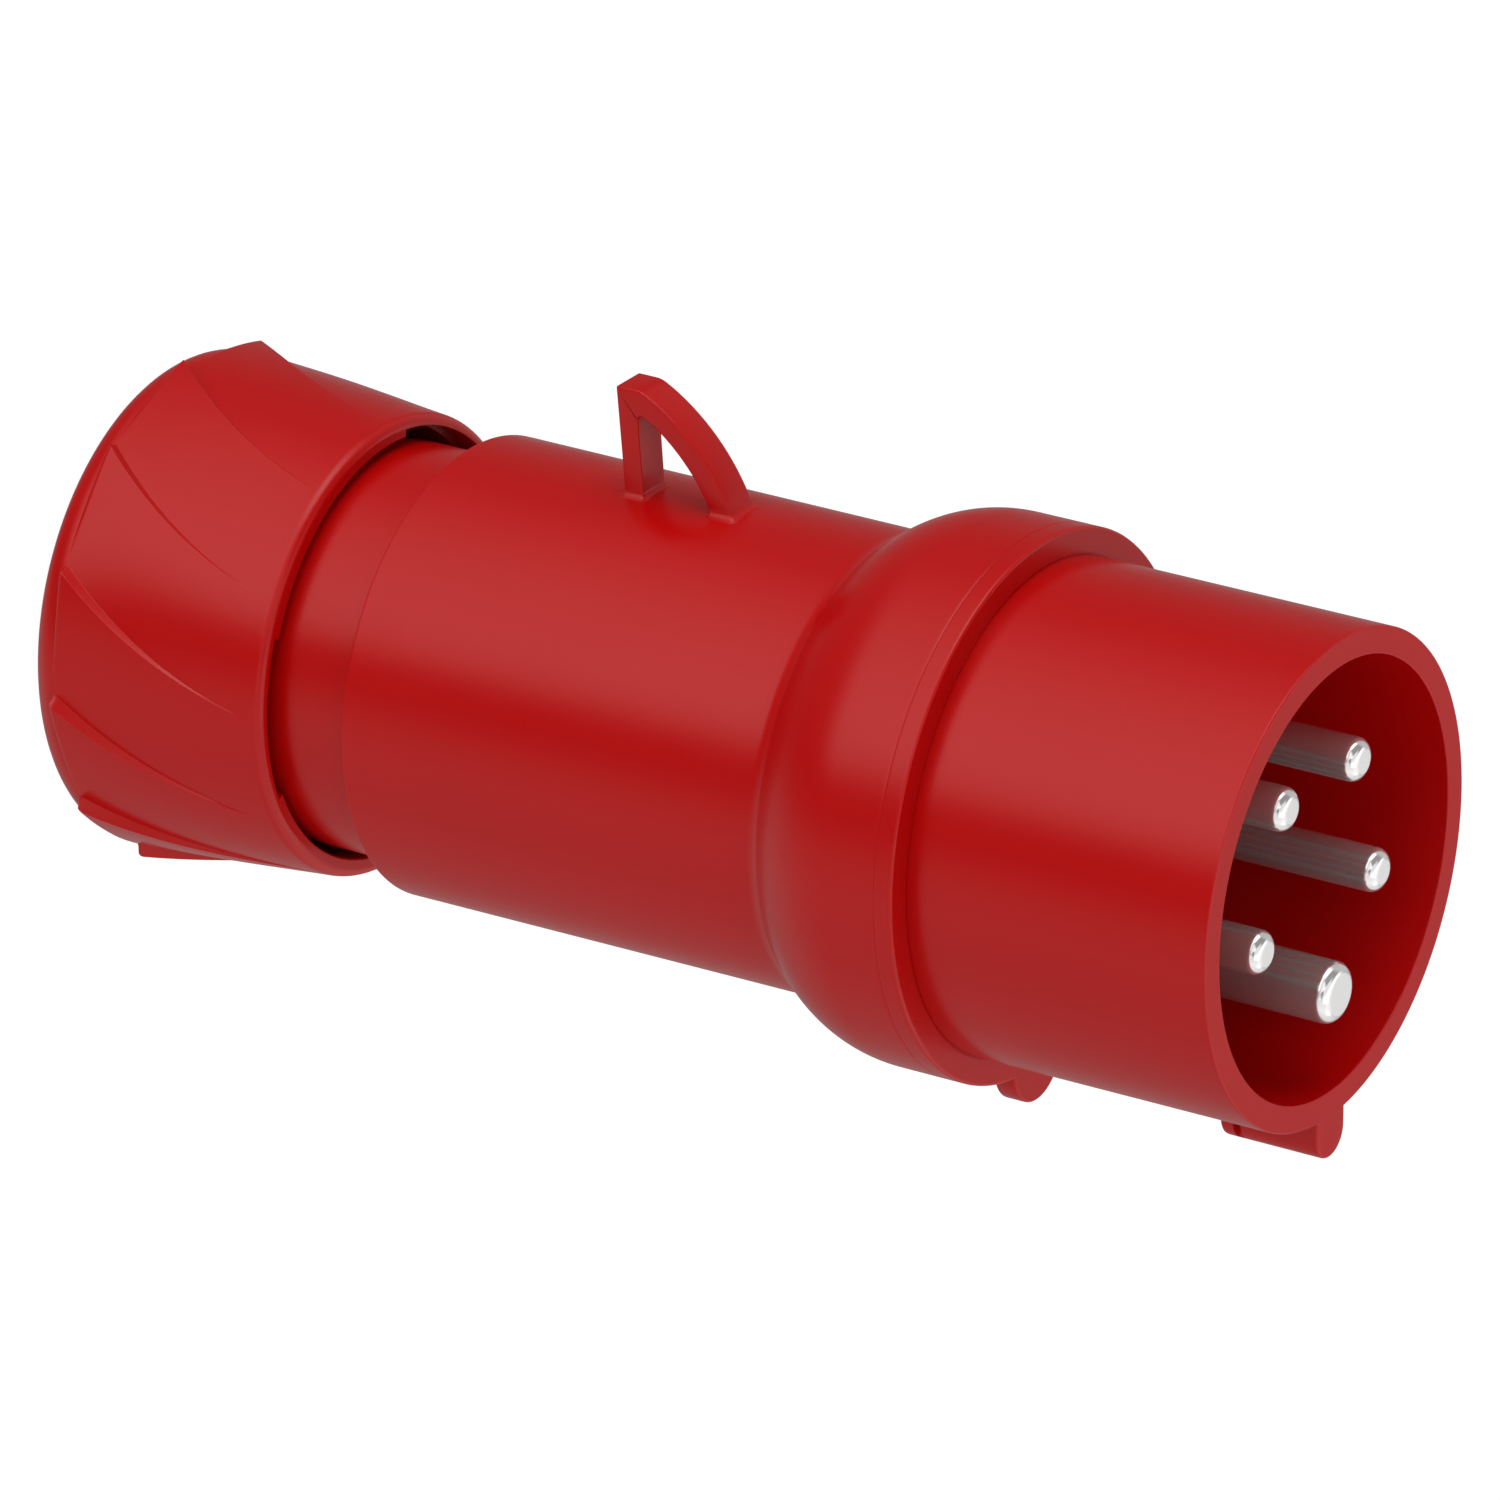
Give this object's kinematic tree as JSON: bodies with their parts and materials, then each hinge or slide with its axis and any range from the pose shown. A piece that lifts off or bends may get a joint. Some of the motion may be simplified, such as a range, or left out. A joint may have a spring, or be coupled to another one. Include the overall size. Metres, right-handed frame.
{
  "type": "industrial pin and sleeve plug",
  "caption": "Straight red power plug: pins inside a keyed sleeve, hanging loop on the body, and a union nut with swirled ribs that clamps the cable.",
  "frame": {"origin": "centre of the flat back face of the cap, on which the plug stands", "axes": "+Z along the axis of the plug towards the mouth of the sleeve; +X towards the key, the lug and the earth pin; the hanging loop is on the -X side"},
  "size_m": [0.0742, 0.0624, 0.1526],
  "materials": {
    "red_plastic": "satin moulded",
    "dark_red_plastic": "satin moulded",
    "grey_plastic": "satin moulded",
    "black_rubber": "matt moulded",
    "nickel_plate": "bright nickel plate on turned brass",
    "spring_steel": "bright rolled",
    "zinc_steel": "zinc plated"
  },
  "bodies": {
    "housing": {"shroud": "red_plastic", "front_gasket": "black_rubber", "contact_carrier": "dark_red_plastic", "terminal_cover": "grey_plastic", "pin_l1": "nickel_plate", "pin_l2": "nickel_plate", "pin_l3": "nickel_plate", "pin_n": "nickel_plate", "pin_earth": "nickel_plate", "wire_guard_l1": "spring_steel", "wire_guard_l2": "spring_steel", "wire_guard_l3": "spring_steel", "wire_guard_n": "spring_steel", "wire_guard_earth": "spring_steel", "terminal_screws": "zinc_steel", "insert_screws": "zinc_steel", "housing": "red_plastic", "cable_seal": "black_rubber"},
    "gland": {"clamp_cage": "grey_plastic", "thrust_washer": "zinc_steel"},
    "cap": {"cap": "red_plastic"}
  },
  "joints": [
    {"name": "gland_slide", "type": "slide", "parent": "housing", "child": "gland", "axis": [0, 0, 1], "range_m": [-0.0045, 0.009]},
    {"name": "cap_turn", "type": "hinge", "parent": "gland", "child": "cap", "pos_m": [0, 0, 0.015], "axis": [0, 0, 1], "range_deg": [-540, 1080]}
  ],
  "couplings": [
    {"joint": "gland_slide", "follows": "cap_turn", "m_per_rad": 0.000477}
  ]
}
